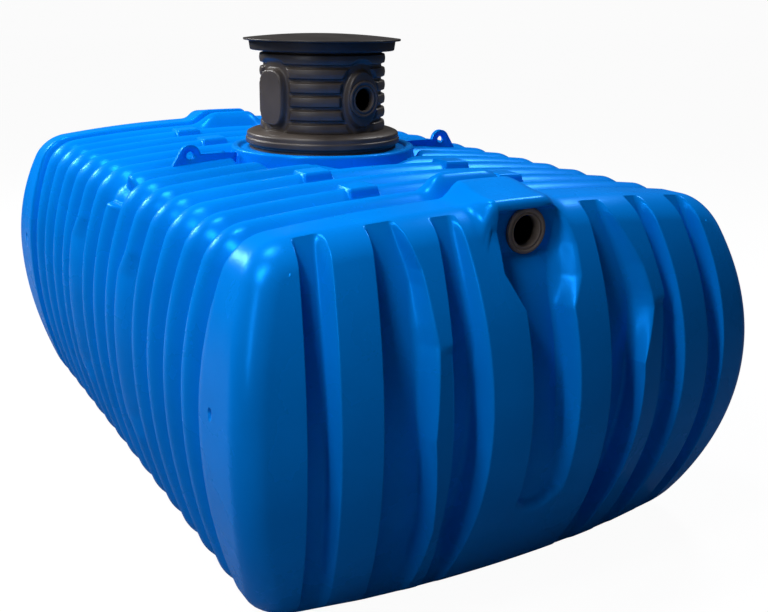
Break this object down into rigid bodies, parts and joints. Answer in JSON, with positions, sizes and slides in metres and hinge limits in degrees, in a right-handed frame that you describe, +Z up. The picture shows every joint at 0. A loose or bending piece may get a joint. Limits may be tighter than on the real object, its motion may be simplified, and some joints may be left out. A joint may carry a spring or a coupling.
{
  "type": "underground water tank",
  "caption": "Low, wide underground rainwater tank: a hollow ribbed moulded body with domed ribbed ends, pipe seals, lifting eyes, an access shaft and a round cover.",
  "frame": {"origin": "middle of the tank's box, on the level floor under it", "axes": "+X along the tank towards its inlet end, +Y to the right side seen from the rear end, +Z up"},
  "size_m": [3.572, 2.256, 1.987],
  "materials": {
    "tank_body": "satin moulded",
    "pipe_seal": "matt",
    "shaft_seal": "matt",
    "shaft": "satin moulded",
    "cover": "satin moulded"
  },
  "bodies": {
    "root": {"tank_roof": "tank_body", "tank_floor": "tank_body", "front_end": "tank_body", "rear_end": "tank_body", "right_shoulder": "tank_body", "left_shoulder": "tank_body", "right_upper_wall": "tank_body", "left_upper_wall": "tank_body", "right_lower_wall": "tank_body", "left_lower_wall": "tank_body", "right_haunch": "tank_body", "left_haunch": "tank_body", "manhole_collar": "tank_body", "left_lifting_eye": "tank_body", "right_lifting_eye": "tank_body", "inlet_seal": "pipe_seal", "outlet_seal": "pipe_seal", "riser_pipe_seal": "shaft_seal", "shaft_gasket": "shaft_seal", "shaft_base_ring": "shaft", "riser_front": "shaft", "riser_right": "shaft", "riser_rear": "shaft", "riser_left": "shaft", "cover_frame": "cover", "cover": "cover"}
  },
  "joints": []
}
